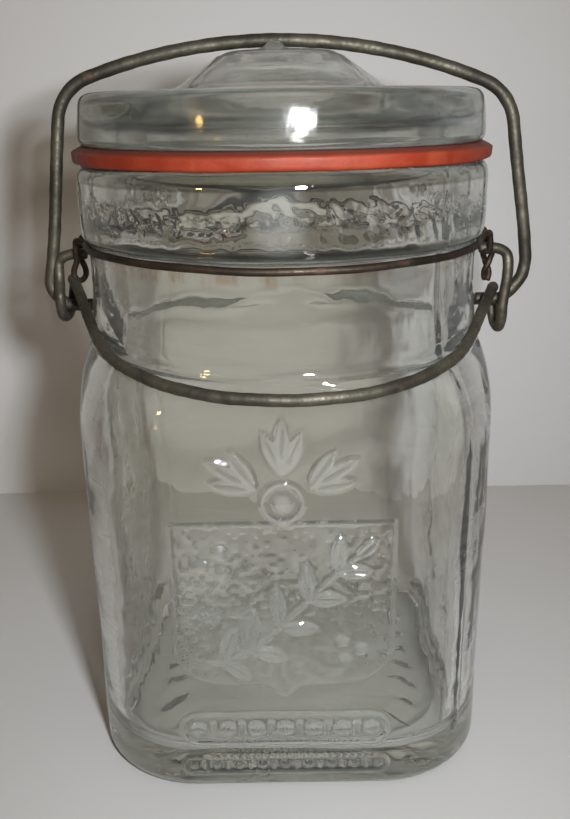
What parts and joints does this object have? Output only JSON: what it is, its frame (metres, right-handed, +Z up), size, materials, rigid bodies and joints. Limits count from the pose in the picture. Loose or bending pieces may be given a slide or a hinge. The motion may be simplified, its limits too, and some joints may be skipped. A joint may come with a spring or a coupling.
{
  "type": "square glass canning jar with wire toggle closure",
  "caption": "Square glass canning jar with round neck, glass lid, rubber sealing ring and wire toggle closure with a front lever handle.",
  "frame": {"origin": "middle of the base, on the plane the jar stands on", "axes": "+Z up along the jar's axis, -Y towards the front where the lever handle hangs, X along the closure's pivots"},
  "size_m": [0.1242, 0.1075, 0.1746],
  "materials": {
    "jar_glass": "clear pressed glass with a faint grey-green tint",
    "lid_glass": "clear thick pressed glass",
    "rubber": "orange-red moulded rubber, slightly dull",
    "rusty_wire": "rusted dark brown tie wire",
    "lever_steel": "dull galvanised wire with brown-green patina",
    "bail_steel": "dull galvanised wire, worn"
  },
  "bodies": {
    "jar_body": {"jar": "jar_glass", "rubber_gasket": "rubber", "neck_wire": "rusty_wire"},
    "lever": {"lever_wire": "lever_steel"},
    "bail": {"lid_bail": "bail_steel"},
    "lid": {"glass_lid": "lid_glass"}
  },
  "joints": [
    {"name": "lever_hinge", "type": "hinge", "parent": "jar_body", "child": "lever", "pos_m": [0, 0, 0.124], "axis": [-1, 0, 0], "range_deg": [0, 53]},
    {"name": "bail_hinge", "type": "hinge", "parent": "lever", "child": "bail", "pos_m": [0, 0, 0.111], "axis": [1, 0, 0], "range_deg": [0, 95.5]},
    {"name": "lid_lift", "type": "slide", "parent": "jar_body", "child": "lid", "axis": [0, 0, 1], "range_m": [0, 0.0014]}
  ],
  "couplings": [
    {"joint": "bail_hinge", "follows": "lever_hinge", "ratio": 1.8},
    {"joint": "lid_lift", "follows": "lever_hinge", "m_per_rad": 0.0015}
  ]
}
